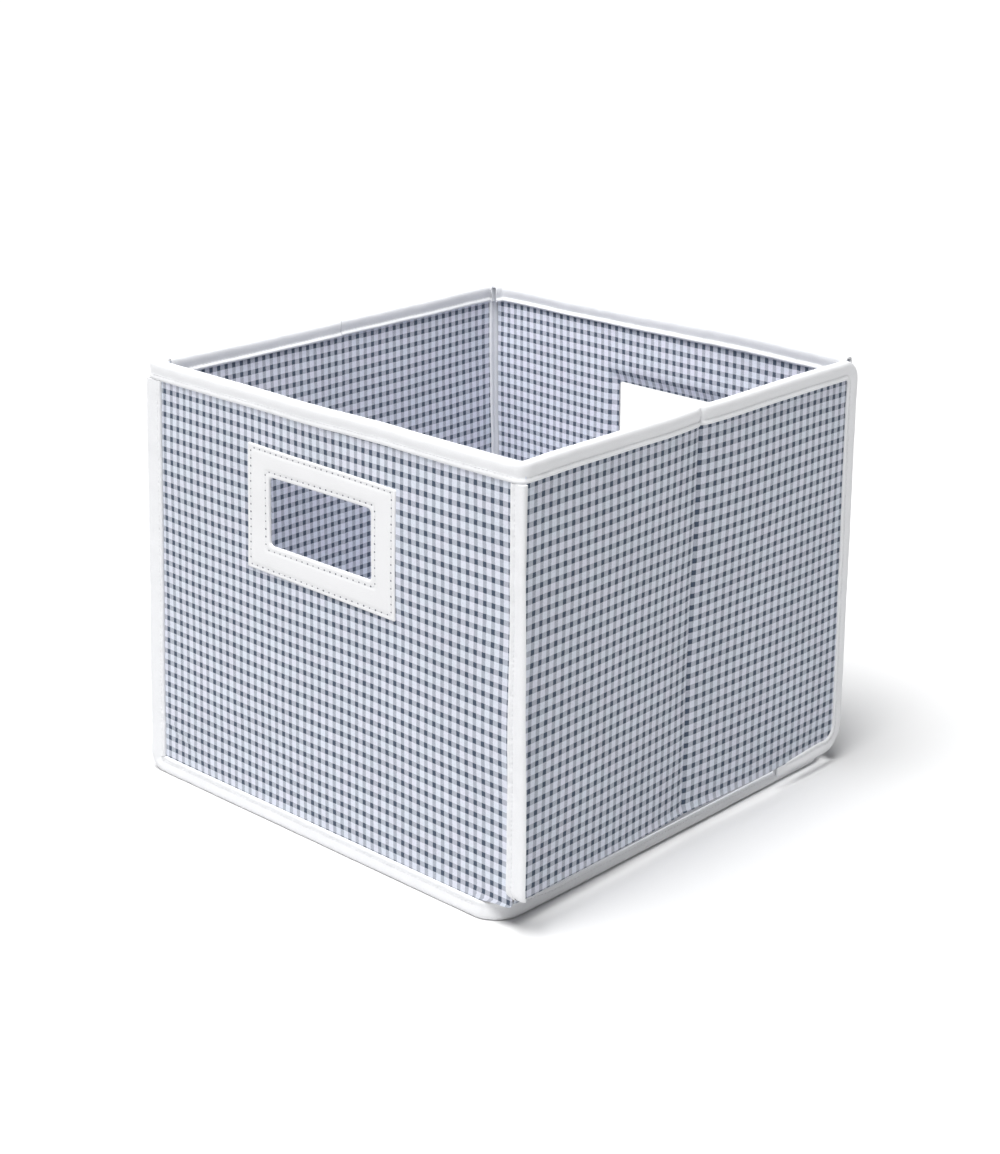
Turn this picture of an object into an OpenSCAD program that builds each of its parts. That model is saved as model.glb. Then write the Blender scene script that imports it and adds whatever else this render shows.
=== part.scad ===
// Collapsible fabric storage bin: four stiffened cloth walls, bound edges and a hinged base panel.
// X runs along the front wall, -Y is the front, +Z is up. The origin is on the floor, at the middle.

/* [Overall size] */
// Width over the corner bindings
body_w = 324; // [280:1:380]
// Depth over the front and rear bindings
body_d = 318; // [280:1:380]
// Height from the floor to the top of the rim
body_h = 280; // [270:1:340]

/* [Panels] */
// Thickness of the stiffening board in each wall
board_t = 2.4; // [1.6:0.1:3]
// Thickness of one layer of cloth
cloth_t = 0.8; // [0.4:0.1:1]
// Height of the side walls' lower edge above the floor
side_hem_h = 20; // [16:1:26]
// Corner radius of the front panel where it rises over the base's round corner
front_corner_r = 26; // [18:1:30]

/* [Bindings] */
// Width of the folded binding tape on every edge
tape_w = 12; // [10:0.5:14]
// Thickness of one layer of binding tape
tape_t = 0.9; // [0.5:0.1:1.2]
// Distance that the front corner bindings stand proud of the side walls
fin_out = 4; // [2.5:0.5:6]
// Height of the near corner binding's lower end above the floor
fin_end_h = 24; // [20:1:30]
// Outer radius of the binding round the rear corners of the side walls
side_corner_r = 14; // [13:0.5:16]

/* [Handles] */
// Width of the handle frame
frame_w = 127; // [110:1:150]
// Height of the handle frame
frame_h = 80; // [70:1:95]
// Width of the hand hole
hole_w = 88; // [75:1:95]
// Height of the hand hole
hole_h = 44; // [38:1:52]
// Drop from the rim's lower edge to the top of the frame
frame_drop = 23; // [15:1:35]
// Distance of the front handle left of the wall's middle, seen from outside
front_handle_shift = 2.5; // [0:0.5:6]
// Distance of the back handle left of the wall's middle, seen from outside
back_handle_shift = 5.5; // [0:0.5:6]
// Thickness of the handle frame
frame_t = 1.2; // [0.8:0.1:1.5]
// Corner radius of the hand hole
hole_r = 3; // [2:0.5:6]

/* [Base] */
// Reach of the base to the right of the middle
base_right = 150.5; // [125:0.5:150.5]
// Reach of the base to the left of the middle
base_left = 160; // [125:0.5:160]
// Height of the binding round the base
base_h = 12; // [9:0.5:12]
// Plan radius of the base's corners
base_r = 15; // [10:1:20]
// Height of the base panel's underside above the floor
base_lift = 5; // [3:0.5:6]

/* [Hidden] */
$fn = 64;
gap = 0.3;                              // clearance between pieces that move apart
crease_gap = 0.2;                       // each half wall's end to the crease line
hw = body_w / 2;
hd = body_d / 2;
panel_t = board_t + 2 * cloth_t;
bound_t = panel_t + 2 * tape_t;         // thickness of a bound edge
rim_z = body_h - tape_w;                // lower edge of the rim binding
side_x = hw - fin_out;                  // outer face of a side wall's cloth
side_in = side_x - panel_t - tape_t;    // inner face of a side wall's binding
wall_y = hd - tape_t;                   // outer face of the front and back cloth
wall_in = hd - bound_t;                 // inner face of the front and back bindings
half_end = wall_in - 2 * gap;           // end of a front half wall, behind the front binding
back_end = side_in - gap;               // end of the back wall, between the side walls
back_z = base_h + 2 * gap;              // lower edge of the back wall
frame_top = rim_z - frame_drop;
hole_z = frame_top - frame_h / 2 + 1;   // middle of the hand hole
front_x1 = base_right - base_r;         // where the front binding hands over to the base's corner
front_low = base_h + 0.5;               // front panel's edge over the base's corner

gingham = [0.66, 0.71, 0.82];
lining_tint = [0.72, 0.76, 0.86];
tape_white = [0.95, 0.95, 0.96];
leather_white = [0.97, 0.97, 0.97];
board_grey = [0.62, 0.58, 0.52];

// ---- outlines, drawn flat ----

// A rectangle from corner to corner.
module rect(x0, y0, x1, y1) {
    translate([x0, y0]) square([x1 - x0, y1 - y0]);
}

// A rectangle with four round corners.
module round_rect(x0, y0, x1, y1, r) {
    rect(x0 + r, y0, x1 - r, y1);
    rect(x0, y0 + r, x1, y1 - r);
    for (x = [x0 + r, x1 - r], y = [y0 + r, y1 - r]) translate([x, y]) circle(r);
}

// The hand hole, centred on its own middle.
module hole_outline() {
    round_rect(-hole_w / 2, -hole_h / 2, hole_w / 2, hole_h / 2, hole_r);
}

// The front panel: its lower left corner is round inside its binding, and its lower right corner
// rises over the base's round corner.
module front_outline() {
    x0 = -hw + tape_t;
    x1 = hw - tape_t;
    r = front_corner_r;
    left_r = tape_w - tape_t;
    rect(x0, tape_t + left_r, front_x1, body_h - tape_t);
    rect(x0 + left_r, tape_t, front_x1, body_h / 2);
    translate([x0 + left_r, tape_t + left_r]) circle(left_r);
    rect(front_x1 - 1, front_low + r, x1, body_h - tape_t);
    intersection() {
        rect(front_x1 - 1, front_low, x1, front_low + r + 1);
        union() {
            rect(front_x1 - 1, front_low, x1 - r, front_low + r + 1);
            translate([x1 - r, front_low + r]) circle(r);
        }
    }
}

// The back panel, which stands between the side walls.
module back_outline() {
    rect(-back_end + tape_t, back_z, back_end - tape_t, body_h - tape_t);
}

// A side wall's front half, in depth and height.
module front_half_outline() {
    rect(-half_end, side_hem_h, -crease_gap, body_h - tape_t);
}

// A side wall's rear half, with the round corners that its binding follows.
module rear_half_outline() {
    y1 = hd - tape_t;
    z0 = side_hem_h + tape_t;
    z1 = body_h - tape_t;
    r = side_corner_r - tape_t;
    rect(crease_gap, z0, y1 - r, z1);
    rect(crease_gap, z0 + r, y1, z1 - r);
    for (z = [z0 + r, z1 - r]) translate([y1 - r, z]) circle(r);
}

// The base's plan outline, drawn in from its edge.
module base_outline(inset) {
    round_rect(-base_left + inset, -hd + inset, base_right - inset, hd - inset, base_r - inset);
}

// The strip along the front that the front binding takes up.
module front_strip() {
    rect(-hw - 1, -hd - 1, front_x1 + gap, -wall_in + gap);
}

// Folded tape, cut across: open towards the panel that it binds, folded edge at y = tape_w.
module tape_profile() {
    r = bound_t / 2;
    difference() {
        union() {
            rect(-r, 0, r, tape_w - r);
            translate([0, tape_w - r]) circle(r);
        }
        rect(-panel_t / 2, -1, panel_t / 2, tape_w - tape_t);
    }
}

// ---- solids from outlines ----

// An outline in X and Z, from depth y0 to y1.
module facing_y(y0, y1) {
    translate([0, y1, 0]) rotate([90, 0, 0]) linear_extrude(y1 - y0) children();
}

// An outline in Y and Z, from x0 to x1.
module facing_x(x0, x1) {
    translate([x0, 0, 0]) rotate([90, 0, 90]) linear_extrude(x1 - x0) children();
}

// Tape along X, folded edge up, its middle at depth y.
module tape_along_x(x0, x1, y, z0) {
    translate([x0, y, z0]) rotate([90, 0, 90]) linear_extrude(x1 - x0) tape_profile();
}

// Tape along Y, folded edge up, its middle at x.
module tape_along_y(y0, y1, x, z0) {
    translate([x, y1, z0]) rotate([90, 0, 0]) linear_extrude(y1 - y0) tape_profile();
}

// A quarter turn of tape in a wall's own plane, round an origin, folded edge outwards.
module tape_corner(outer_r) {
    rotate([90, 0, 0])
        rotate_extrude(angle = 90)
            translate([outer_r - tape_w, 0]) rotate(-90) mirror([1, 0]) tape_profile();
}

// Upright tape with its folded edge on the +X side, its open edge at x, its middle at depth y.
module tape_upright(x, y, z0, z1) {
    translate([x, y, z0]) linear_extrude(z1 - z0) rotate(-90) tape_profile();
}

// ---- handles ----

// Cuts the hand hole through what stands between y0 and y1.
module with_hole(x, y0, y1) {
    difference() {
        children();
        facing_y(y0 - 1, y1 + 1) translate([x, hole_z]) hole_outline();
    }
}

// The stitched frame round a hand hole.
module handle_frame(x, y0, y1) {
    with_hole(x, y0, y1)
        facing_y(y0, y1) rect(x - frame_w / 2, frame_top - frame_h, x + frame_w / 2, frame_top);
}

// ---- front wall ----

module front_layer(y0, y1) {
    with_hole(-front_handle_shift, y0, y1) facing_y(y0, y1) front_outline();
}

module front_outer_cloth() {
    color(gingham) front_layer(-wall_y, -wall_y + cloth_t);
}

module front_board() {
    color(board_grey) front_layer(-wall_y + cloth_t, -wall_y + cloth_t + board_t);
}

module front_lining() {
    color(lining_tint) front_layer(-wall_y + cloth_t + board_t, -wall_y + panel_t);
}

module front_handle_frame() {
    color(leather_white) handle_frame(-front_handle_shift, -wall_y - frame_t, -wall_y);
}

module front_rim_binding() {
    color(tape_white) tape_along_x(-hw, hw, -wall_y + panel_t / 2, rim_z);
}

// One length of tape: down the left edge, round the corner and along the bottom.
module front_edge_binding() {
    y = -wall_y + panel_t / 2;
    color(tape_white) {
        translate([0, 0, body_h]) mirror([0, 0, 1])
            mirror([1, 0, 0]) tape_upright(hw - tape_w, y, tape_w, body_h - tape_w);
        translate([-hw + tape_w, y, tape_w]) mirror([0, 0, 1]) mirror([1, 0, 0]) tape_corner(tape_w);
        translate([0, 0, tape_w]) mirror([0, 0, 1]) tape_along_x(-hw + tape_w, front_x1, y, 0);
    }
}

module front_right_corner_binding() {
    color(tape_white) tape_upright(hw - tape_w, -wall_y + panel_t / 2, fin_end_h, rim_z);
}

// ---- back wall ----

module back_layer(y0, y1) {
    with_hole(back_handle_shift, y0, y1) facing_y(y0, y1) back_outline();
}

module back_outer_cloth() {
    color(gingham) back_layer(wall_y - cloth_t, wall_y);
}

module back_board() {
    color(board_grey) back_layer(wall_y - cloth_t - board_t, wall_y - cloth_t);
}

module back_lining() {
    color(lining_tint) back_layer(wall_y - panel_t, wall_y - cloth_t - board_t);
}

module back_handle_frame() {
    color(leather_white) handle_frame(back_handle_shift, wall_y, wall_y + frame_t);
}

module back_rim_binding() {
    color(tape_white) tape_along_x(-back_end, back_end, wall_y - panel_t / 2, rim_z);
}

// ---- side walls, drawn for the right side; the left is its mirror image ----

module to_side(side) {
    mirror([side == "left" ? 1 : 0, 0, 0]) children();
}

module side_outer_cloth(side) {
    color(gingham) to_side(side) facing_x(side_x - cloth_t, side_x) children();
}

module side_board(side) {
    color(board_grey) to_side(side) facing_x(side_x - cloth_t - board_t, side_x - cloth_t) children();
}

module side_lining(side) {
    color(lining_tint) to_side(side) facing_x(side_x - panel_t, side_x - cloth_t - board_t) children();
}

module side_front_rim_binding(side) {
    color(tape_white) to_side(side)
        tape_along_y(-half_end, -crease_gap, side_x - panel_t / 2, rim_z);
}

// One length of tape: along the rim, round the corner, down the rear edge and round its foot.
module side_rear_binding(side) {
    x = side_x - panel_t / 2;
    r = side_corner_r;
    color(tape_white) to_side(side) {
        tape_along_y(crease_gap, hd - r, x, rim_z);
        translate([x, hd - r, body_h - r]) rotate(90) tape_corner(r);
        translate([x, hd, side_hem_h + r])
            linear_extrude(body_h - side_hem_h - 2 * r) translate([0, -tape_w]) tape_profile();
        translate([x, hd - r, side_hem_h + r]) mirror([0, 0, 1]) rotate(90) tape_corner(r);
    }
}

// ---- base ----

module base_layer(z0, z1) {
    translate([0, 0, z0]) linear_extrude(z1 - z0)
        difference() {
            base_outline(bound_t);
            front_strip();
        }
}

module base_bottom_cloth() {
    color(lining_tint) base_layer(base_lift, base_lift + cloth_t);
}

module base_board() {
    color(board_grey) base_layer(base_lift + cloth_t, base_lift + cloth_t + board_t);
}

module base_top_cloth() {
    color(lining_tint) base_layer(base_lift + cloth_t + board_t, base_lift + panel_t);
}

// Tape on three sides of the base. Its fourth side is sewn to the front wall.
module base_binding() {
    color(tape_white) linear_extrude(base_h)
        difference() {
            base_outline(0);
            base_outline(bound_t);
            front_strip();
        }
}

front_board();
front_outer_cloth();
front_lining();
front_handle_frame();
front_rim_binding();
front_edge_binding();
front_right_corner_binding();
back_board();
back_outer_cloth();
back_lining();
back_handle_frame();
back_rim_binding();
side_board("right") front_half_outline();  // right_front_board
side_outer_cloth("right") front_half_outline();  // right_front_outer_cloth
side_lining("right") front_half_outline();  // right_front_lining
side_front_rim_binding("right");  // right_front_rim_binding
side_board("right") rear_half_outline();  // right_rear_board
side_outer_cloth("right") rear_half_outline();  // right_rear_outer_cloth
side_lining("right") rear_half_outline();  // right_rear_lining
side_rear_binding("right");  // right_rear_binding
side_board("left") front_half_outline();  // left_front_board
side_outer_cloth("left") front_half_outline();  // left_front_outer_cloth
side_lining("left") front_half_outline();  // left_front_lining
side_front_rim_binding("left");  // left_front_rim_binding
side_board("left") rear_half_outline();  // left_rear_board
side_outer_cloth("left") rear_half_outline();  // left_rear_outer_cloth
side_lining("left") rear_half_outline();  // left_rear_lining
side_rear_binding("left");  // left_rear_binding
base_board();
base_top_cloth();
base_bottom_cloth();
base_binding();
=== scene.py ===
import math
import random

import bpy
from mathutils import Matrix, Vector, noise


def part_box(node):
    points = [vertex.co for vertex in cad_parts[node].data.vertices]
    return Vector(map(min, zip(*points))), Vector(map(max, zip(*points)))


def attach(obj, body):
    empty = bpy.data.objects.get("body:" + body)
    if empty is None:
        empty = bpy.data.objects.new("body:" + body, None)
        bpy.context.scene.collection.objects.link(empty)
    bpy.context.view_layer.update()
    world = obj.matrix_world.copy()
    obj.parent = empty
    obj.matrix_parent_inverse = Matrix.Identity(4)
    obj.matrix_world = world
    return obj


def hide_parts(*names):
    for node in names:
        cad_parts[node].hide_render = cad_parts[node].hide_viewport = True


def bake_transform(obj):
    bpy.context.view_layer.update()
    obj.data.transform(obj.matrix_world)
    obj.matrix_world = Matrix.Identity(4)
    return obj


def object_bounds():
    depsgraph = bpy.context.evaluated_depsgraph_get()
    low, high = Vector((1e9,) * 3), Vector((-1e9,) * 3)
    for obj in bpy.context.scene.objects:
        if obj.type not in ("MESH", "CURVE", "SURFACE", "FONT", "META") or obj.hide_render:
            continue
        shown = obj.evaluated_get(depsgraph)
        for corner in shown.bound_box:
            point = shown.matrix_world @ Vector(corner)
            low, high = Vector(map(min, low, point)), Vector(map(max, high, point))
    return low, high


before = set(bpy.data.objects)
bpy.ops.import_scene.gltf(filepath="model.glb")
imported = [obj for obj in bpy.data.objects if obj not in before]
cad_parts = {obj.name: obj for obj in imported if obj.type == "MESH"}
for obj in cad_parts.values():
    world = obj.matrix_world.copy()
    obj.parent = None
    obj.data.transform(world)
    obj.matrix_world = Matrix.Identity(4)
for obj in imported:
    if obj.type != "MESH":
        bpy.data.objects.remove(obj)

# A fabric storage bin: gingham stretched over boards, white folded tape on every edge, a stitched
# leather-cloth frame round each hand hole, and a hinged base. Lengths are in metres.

MM = 0.001
cad_box = [list(corner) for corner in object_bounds()]
rng = random.Random(7)

# ---- sizes read from the frame ----



def corners_of(node):
    """A CAD node's lowest and highest corner."""
    return [Vector(corner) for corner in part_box(node)]


body_hi = Vector(cad_box[1])
HEIGHT = body_hi.z
HALF_W = body_hi.x
HALF_D = body_hi.y
front_lo, front_hi = corners_of("front_outer_cloth")
back_lo, back_hi = corners_of("back_outer_cloth")
near_lo, near_hi = corners_of("right_front_outer_cloth")
rear_hi = corners_of("right_rear_outer_cloth")[1]
rim_lo, rim_hi = corners_of("front_rim_binding")
back_rim_lo, back_rim_hi = corners_of("back_rim_binding")
fin_lo = corners_of("front_right_corner_binding")[0]
rear_tape_lo, rear_tape_hi = corners_of("right_rear_binding")
base_lo, base_hi = corners_of("base_binding")
base_top_lo, base_top_hi = corners_of("base_top_cloth")
base_under_lo, base_under_hi = corners_of("base_bottom_cloth")
handle_lo, handle_hi = corners_of("front_handle_frame")
back_handle_lo, back_handle_hi = corners_of("back_handle_frame")

CLOTH = front_hi.y - front_lo.y                      # one layer of cloth
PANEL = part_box("front_lining")[1][1] - front_lo.y    # cloth, board and lining together
BOARD = PANEL - 2 * CLOTH
TAPE_W = rim_hi.z - rim_lo.z                         # width of the folded tape
BOUND = rim_hi.y - rim_lo.y                          # thickness of a bound edge
RIM_Z = rim_lo.z
FRONT_FACE = -front_lo.y
SIDE_FACE = near_hi.x
FRONT_MID = FRONT_FACE - PANEL / 2
SIDE_MID = SIDE_FACE - PANEL / 2
SIDE_HEM = near_lo.z - 3.6 * MM                      # the side's cloth hangs below the CAD's
BASE_R = 15 * MM                                     # plan radius of the base's corners
NEAR_BASE_R = 20 * MM                                # and of its near right corner
BASE_TUCK = 4.5 * MM                                 # the base's right edge lies in under the wall
REAR_R = 14 * MM                                     # outer radius of the rear corners
FOOT_R = 12 * MM                                     # outer radius of the front's left foot
HOLE_W, HOLE_H, HOLE_R = 88 * MM, 44 * MM, 3 * MM    # the hand hole
HANDLE_X = (handle_lo.x + handle_hi.x) / 2
HANDLE_Z = (handle_lo.z + handle_hi.z) / 2
BACK_HANDLE_X = (back_handle_lo.x + back_handle_hi.x) / 2
HOLE_Z = HANDLE_Z + 1 * MM
FRONT_TAPE_END = base_hi.x - BASE_TUCK - NEAR_BASE_R     # where the base's tape takes over

# ---- how the cloth bin has settled out of its square shape ----

FLARE_X = (4.2 * MM, -2.6 * MM)         # the front's ends stand out at the floor; the sides lean in
FLARE_Y = (3.2 * MM, 3.4 * MM)          # the front and the rear lean out at the floor
CREASE_DIP = (2.2 * MM, 5.4 * MM)       # the crease stands in from the wall, at the rim and at the hem
CREASE_REACH = (13 * MM, 55 * MM)       # how far along the wall that dip reaches
CREASE_GROOVE = (1.1 * MM, 1.5 * MM)    # the sharp fold line at the crease: its depth and reach
LEFT_SHARE = -0.3             # the left crease is pushed the other way, and less
WAVE = 0.55 * MM              # how far the walls ripple
RIM_WAVE = 0.5 * MM           # and how far the rim rises and falls
BACK_RISE = (2.4 * MM, 0.045, 0.085)    # the back rim's swell: its height, place and reach along x


def mix(a, b, t):
    return a + (b - a) * t


def smooth(a, b, x):
    t = min(1, max(0, (x - a) / (b - a)))
    return t * t * (3 - 2 * t)


def bell(distance, reach):
    """1 at distance 0, fading out past the reach."""
    return math.exp(-(distance / reach) ** 2)


def wobble(a, b, c):
    return noise.noise(Vector((a, b, c)))


def ripple(a, b, seed):
    """Gentle seeded unevenness, about -1 to 1, over a wall's two directions."""
    return (1.6 * wobble(a / 0.07, b / 0.09, seed * 7.3)
            + 0.5 * wobble(a / 0.025, b / 0.03, seed * 3.1 + 40))


def pull(x, z):
    """The diagonal pull that shows low on the front, near its left edge."""
    along = (x + 0.135) * 0.88 - (z - 0.034) * 0.47
    across = (x + 0.135) * 0.47 + (z - 0.034) * 0.88
    fade = bell(along, 0.016)
    ridge = 0.9 * MM * bell(across, 0.0022)
    hollow = 0.8 * MM * bell(across + 0.0042, 0.0024)
    return fade * (ridge - hollow)


def settled(p):
    """Where a point of the square bin lies once its walls lean, dip at the creases and ripple."""
    x, y, z = p
    lean = 1 - z / HEIGHT
    side = smooth(0.125, 0.150, abs(x)) * (1 - smooth(0.1562, 0.1572, -y))
    fore = smooth(0.135, 0.150, -y)
    aft = smooth(0.135, 0.150, y)
    lift = smooth(0.012, 0.020, z)
    dip = mix(*CREASE_DIP, lean) * math.exp(-(abs(y) + 0.25 * MM) / mix(*CREASE_REACH, lean))
    groove = CREASE_GROOVE[0] * math.exp(-abs(y) / CREASE_GROOVE[1])
    outward = 1 if x > 0 else -1
    in_front = smooth(0.1560, 0.1572, -y) if side else smooth(0.135, 0.150, -y)
    dx = x / HALF_W * mix(FLARE_X[1], FLARE_X[0], in_front) * lean
    dx -= ((1 if x > 0 else LEFT_SHARE) * dip + groove) * side * lift * outward
    within = 1 - smooth(0.1500, 0.1520, abs(x))
    under = smooth(0.110, 0.140, x) * within * (1 - smooth(0.0125, 0.0165, z))
    dx -= under * dx
    dx += WAVE * ripple(y, z, 1 if x > 0 else 2) * side * lift * (1 - fore) * (1 - aft)
    dy = abs(y) / HALF_D * (FLARE_Y[1] if y > 0 else -FLARE_Y[0]) * lean
    dy -= smooth(0.10, 0.16, y) * FLARE_Y[1] * lean * (1 - lift) * within
    dy += WAVE * (ripple(x, z, 3) * fore - ripple(x, z, 4) * aft) * lift
    dy -= pull(x, z) * fore * lift
    dz = RIM_WAVE * ripple(x + 0.3, y, 5) * smooth(0.2, 0.28, z)
    swell, swell_x, swell_reach = BACK_RISE
    dz += swell * aft * smooth(0.255, 0.28, z) * bell(x - swell_x, swell_reach)
    return Vector((x + dx, y + dy, z + dz))


# ---- materials ----


class Nodes:
    """Adds shader nodes with one call each."""

    def __init__(self, name):
        self.material = bpy.data.materials.new(name)
        self.material.use_nodes = True
        self.tree = self.material.node_tree
        self.shader = self.tree.nodes["Principled BSDF"]

    def link(self, value, socket):
        if hasattr(value, "is_output"):
            self.tree.links.new(value, socket)
        else:
            socket.default_value = value

    def math(self, operation, a, b=0.0, c=0.0, clamp=False):
        node = self.tree.nodes.new("ShaderNodeMath")
        node.operation = operation
        node.use_clamp = clamp
        for socket, value in zip(node.inputs, (a, b, c)):
            self.link(value, socket)
        return node.outputs[0]

    def ramp(self, value, low, high, out_low=0.0, out_high=1.0):
        node = self.tree.nodes.new("ShaderNodeMapRange")
        node.interpolation_type = "SMOOTHSTEP"
        for socket, v in zip(node.inputs, (value, low, high, out_low, out_high)):
            self.link(v, socket)
        return node.outputs[0]

    def uv(self):
        return self.tree.nodes.new("ShaderNodeTexCoord").outputs["UV"]

    def place(self):
        return self.tree.nodes.new("ShaderNodeTexCoord").outputs["Object"]

    def split(self, vector):
        node = self.tree.nodes.new("ShaderNodeSeparateXYZ")
        self.link(vector, node.inputs[0])
        return node.outputs[0], node.outputs[1]

    def noise(self, vector, size, detail=2.0, rough=0.5):
        node = self.tree.nodes.new("ShaderNodeTexNoise")
        self.link(vector, node.inputs["Vector"])
        node.inputs["Scale"].default_value = 1 / size
        node.inputs["Detail"].default_value = detail
        node.inputs["Roughness"].default_value = rough
        return node.outputs["Fac"]

    def cells(self, vector, size):
        node = self.tree.nodes.new("ShaderNodeTexVoronoi")
        self.link(vector, node.inputs["Vector"])
        node.inputs["Scale"].default_value = 1 / size
        return node.outputs["Distance"]

    def blend(self, factor, a, b, kind="MIX"):
        node = self.tree.nodes.new("ShaderNodeMix")
        node.data_type = "RGBA"
        node.blend_type = kind
        sockets = [s for s in node.inputs if s.type == "RGBA"]
        self.link(factor, node.inputs[0])
        self.link(a, sockets[0])
        self.link(b, sockets[1])
        return next(s for s in node.outputs if s.type == "RGBA")

    def faded(self, factor, tint, share):
        """The tint, darker by a share where the factor is 0."""
        return self.blend(factor, [c * share for c in tint[:3]] + [1], tint)

    def shaded(self, color, shade):
        """The colour times a shade from 0 to 1."""
        return self.blend(1.0, color, self.blend(shade, (0, 0, 0, 1), (1, 1, 1, 1)), "MULTIPLY")

    def bump(self, height, distance, strength=1.0, below=None):
        node = self.tree.nodes.new("ShaderNodeBump")
        self.link(height, node.inputs["Height"])
        node.inputs["Distance"].default_value = distance
        node.inputs["Strength"].default_value = strength
        if below is not None:
            self.link(below, node.inputs["Normal"])
        return node.outputs[0]

    def finish(self, color, rough, normal, sheen=0.0, specular=0.3):
        self.link(color, self.shader.inputs["Base Color"])
        self.link(rough, self.shader.inputs["Roughness"])
        self.link(normal, self.shader.inputs["Normal"])
        self.shader.inputs["Specular IOR Level"].default_value = specular
        self.shader.inputs["Sheen Weight"].default_value = sheen
        self.shader.inputs["Sheen Roughness"].default_value = 0.5
        return self.material


def weave(n, u, v, thread):
    """Height and over-under parity of a plain weave, both from 0 to 1."""
    turn = math.tau / (2 * thread)
    wave = n.math("MULTIPLY", n.math("SINE", n.math("MULTIPLY", u, turn)),
                  n.math("SINE", n.math("MULTIPLY", v, turn)))
    return n.math("MULTIPLY_ADD", wave, 0.5, 0.5)


def stripe(n, coordinate, pitch, share):
    """1 on the dyed stripes, which take up a share of each pitch, and 0 between them."""
    phase = n.math("FRACT", n.math("DIVIDE", coordinate, pitch))
    off = n.math("ABSOLUTE", n.math("SUBTRACT", phase, 0.5))
    return n.ramp(off, share / 2 - 0.022, share / 2 + 0.022, 1.0, 0.0)


GROUND = (0.705, 0.750, 0.835, 1)
DYE = (0.060, 0.083, 0.125, 1)
# The lining's ground and dye are lighter than the outer cloth's. This is painted light: a lit copy of the
# gingham that stands in for light the inside of the bin lacks.
LIT_LINING_GROUND = (0.765, 0.800, 0.885, 1)
LIT_LINING_DYE = (0.075, 0.098, 0.140, 1)
TINGE = (1.03, 0.985, 1.0, 1)           # parts of the ground lean a little to pink
SINGLE_DEPTH = 0.86                     # how deep a single stripe is against a crossing
CHECK_ACROSS = 6.41 * MM
CHECK_DOWN = 7.6 * MM
STRIPE_SHARE = 0.43
THREAD = 0.32 * MM


def gingham(name, ground, dye, share=STRIPE_SHARE):
    n = Nodes(name)
    where = n.uv()
    u, v = n.split(where)
    stray_u = n.math("MULTIPLY_ADD", n.noise(where, 2.2 * MM), 0.5 * MM, -0.25 * MM)
    stray_v = n.math("MULTIPLY_ADD", n.noise(where, 2.9 * MM), 0.5 * MM, -0.25 * MM)
    warp = stripe(n, n.math("ADD", u, stray_u), CHECK_ACROSS, share)
    weft = stripe(n, n.math("ADD", v, stray_v), CHECK_DOWN, share)
    over = weave(n, u, v, THREAD)
    top = n.math("MULTIPLY_ADD", n.math("SUBTRACT", over, 0.5), 0.7, 0.5)
    crossed = n.math("MULTIPLY", warp, weft)
    single = n.math("ADD", n.math("MULTIPLY", warp, top),
                    n.math("MULTIPLY", weft, n.math("SUBTRACT", 1.0, top)))
    dyed = n.math("MAXIMUM", n.math("MULTIPLY", single, SINGLE_DEPTH), crossed)
    yarn = n.ramp(n.noise(where, 1.1 * MM, 3.0, 0.7), 0.25, 0.75, 0.90, 1.06)
    cloud = n.ramp(n.noise(where, 45 * MM, 2.0), 0.3, 0.7, 0.965, 1.02)
    tinge = n.ramp(n.noise(where, 13 * MM, 2.0), 0.35, 0.65)
    color = n.blend(dyed, n.blend(tinge, ground, [c * f for c, f in zip(ground, TINGE)]), dye)
    shade = n.math("MULTIPLY", yarn, cloud)
    color = n.shaded(color, shade)
    rough = n.ramp(n.noise(where, 3 * MM), 0.3, 0.7, 0.80, 0.92)
    slub = n.bump(n.noise(where, 0.9 * MM, 2.0), 0.10 * MM, 0.5)
    normal = n.bump(over, 0.06 * MM, 0.6, slub)
    return n.finish(color, rough, normal, sheen=0.12, specular=0.2)


def tape_cloth(name, tint):
    n = Nodes(name)
    where = n.uv()
    u, v = n.split(where)
    over = weave(n, n.math("ADD", u, v), n.math("SUBTRACT", u, v), 0.34 * MM)
    cloud = n.noise(where, 20 * MM, 3.0)
    color = n.faded(cloud, tint, 0.965)
    fibre = n.ramp(n.noise(where, 0.8 * MM, 3.0, 0.7), 0.25, 0.75, 0.955, 1.0)
    color = n.shaded(color, fibre)
    rough = n.ramp(n.noise(where, 4 * MM), 0.3, 0.7, 0.68, 0.82)
    slub = n.bump(n.noise(where, 1.8 * MM, 2.0), 0.16 * MM, 0.5)
    normal = n.bump(over, 0.06 * MM, 0.5, slub)
    return n.finish(color, rough, normal, sheen=0.15, specular=0.25)


def leather_cloth(name, tint):
    n = Nodes(name)
    where = n.place()
    grain = n.cells(where, 0.85 * MM)
    crease = n.noise(where, 5 * MM, 4.0, 0.6)
    cloud = n.noise(where, 30 * MM)
    color = n.faded(cloud, tint, 0.97)
    color = n.blend(n.ramp(grain, 0.0, 0.5, 0.06, 0.0), color, (0.55, 0.55, 0.56, 1))
    rough = n.ramp(crease, 0.3, 0.7, 0.42, 0.60)
    soft = n.bump(crease, 0.25 * MM, 0.35)
    normal = n.bump(grain, 0.09 * MM, 0.5, soft)
    return n.finish(color, rough, normal, specular=0.4)


def thread_cloth(name, tint):
    n = Nodes(name)
    where = n.place()
    twist = n.noise(where, 0.5 * MM, 2.0)
    color = n.faded(twist, tint, 0.88)
    normal = n.bump(twist, 0.08 * MM, 0.6)
    return n.finish(color, 0.6, normal, sheen=0.1, specular=0.3)


def pressed_board(name, tint):
    n = Nodes(name)
    where = n.place()
    flecks = n.noise(where, 1.6 * MM, 4.0, 0.7)
    color = n.faded(n.ramp(flecks, 0.35, 0.65), tint, 0.72)
    rough = n.ramp(n.noise(where, 6 * MM), 0.3, 0.7, 0.82, 0.95)
    normal = n.bump(flecks, 0.15 * MM, 0.5)
    return n.finish(color, rough, normal, specular=0.2)


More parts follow.
